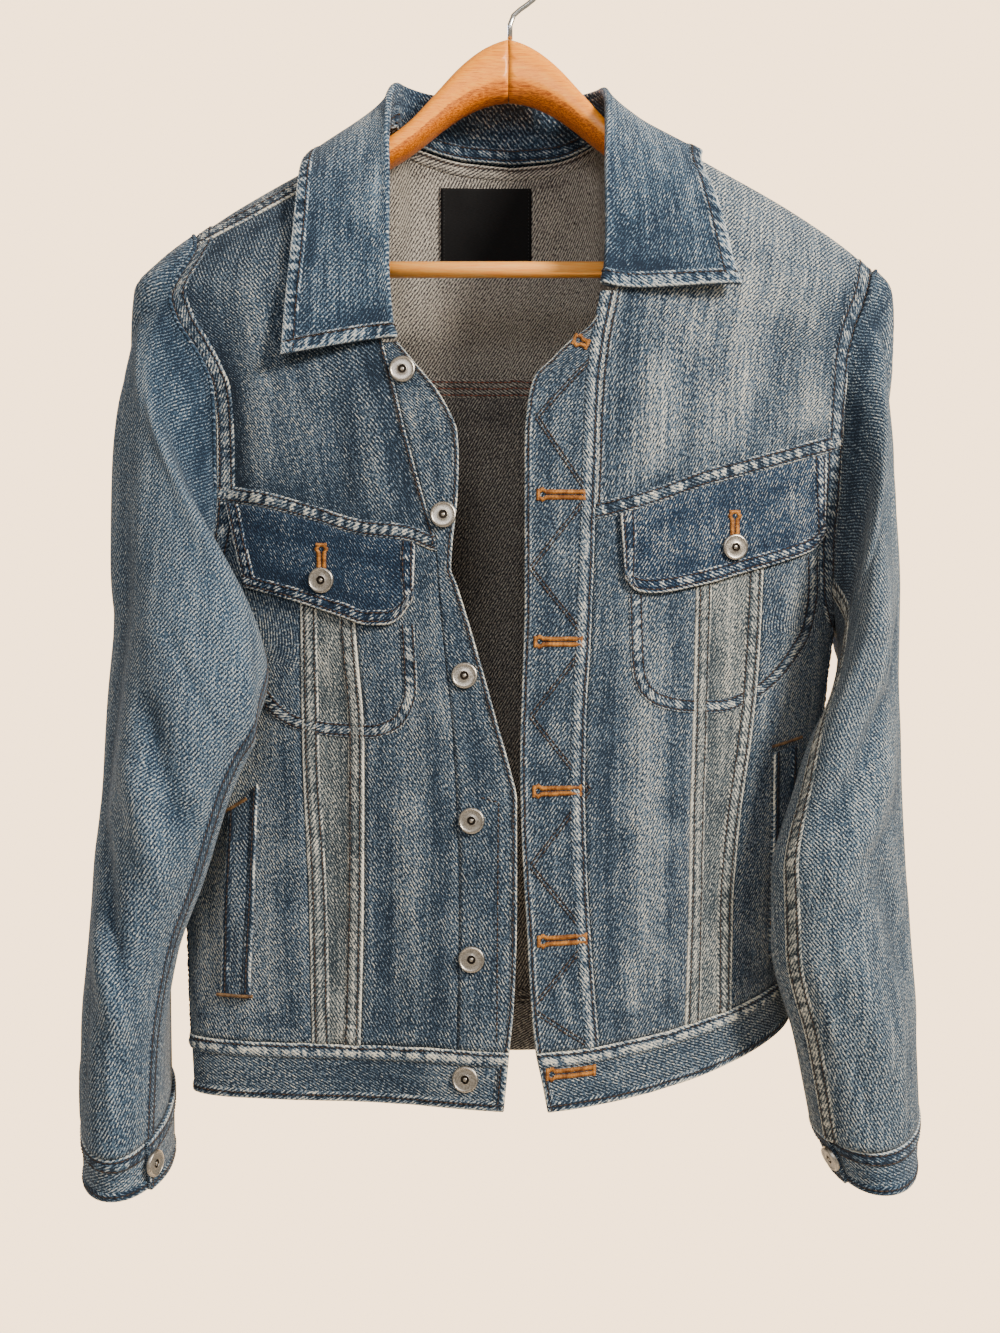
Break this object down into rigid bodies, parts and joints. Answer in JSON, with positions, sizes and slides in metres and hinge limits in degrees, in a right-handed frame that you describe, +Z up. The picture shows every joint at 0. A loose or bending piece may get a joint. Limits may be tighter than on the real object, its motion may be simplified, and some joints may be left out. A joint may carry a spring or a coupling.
{
  "type": "denim jacket on a wooden hanger",
  "caption": "Open denim trucker jacket with a pointed collar, flapped chest pockets and long sleeves, hanging on a wooden hanger with a wire hook.",
  "frame": {"origin": "inner top of the hanger's hook, where it hangs on a rail or peg", "axes": "+Z up, -Y towards the viewer, out of the jacket's front, and +X to the viewer's right, along the shoulders"},
  "size_m": [0.5625, 0.176, 0.85],
  "materials": {
    "denim_blue": "mid-blue washed denim",
    "denim_worn": "light, worn grey-blue denim",
    "denim_strip": "faded grey denim strips",
    "denim_dark": "dark blue denim pocket flaps",
    "label_cloth": "plain black woven label, blank",
    "pewter": "pewter shank buttons",
    "varnished_wood": "honey varnished wood",
    "steel_wire": "bright bent steel wire"
  },
  "bodies": {
    "root": {"back_centre": "denim_worn", "back_side_left": "denim_worn", "back_side_right": "denim_worn", "back_yoke": "denim_worn", "button_cuff_left": "pewter", "button_cuff_right": "pewter", "button_flap_left": "pewter", "button_flap_right": "pewter", "button_front_1": "pewter", "button_front_2": "pewter", "button_front_3": "pewter", "button_front_4": "pewter", "button_front_5": "pewter", "button_front_6": "pewter", "collar": "denim_blue", "cuff_left": "denim_blue", "cuff_right": "denim_blue", "front_inner_left": "denim_worn", "front_inner_right": "denim_worn", "front_side_left": "denim_worn", "front_side_right": "denim_worn", "front_strip_left": "denim_strip", "front_strip_right": "denim_strip", "front_yoke_left": "denim_worn", "front_yoke_right": "denim_worn", "hanger_arm_left": "varnished_wood", "hanger_arm_right": "varnished_wood", "hanger_bar": "varnished_wood", "hanger_hook": "steel_wire", "neck_label": "label_cloth", "placket_left": "denim_worn", "placket_right": "denim_worn", "pocket_flap_left": "denim_dark", "pocket_flap_right": "denim_dark", "pocket_welt_left": "denim_worn", "pocket_welt_right": "denim_worn", "size_tab": "label_cloth", "sleeve_under_left": "denim_blue", "sleeve_under_right": "denim_blue", "sleeve_upper_left": "denim_blue", "sleeve_upper_right": "denim_blue", "waistband": "denim_worn"}
  },
  "joints": []
}
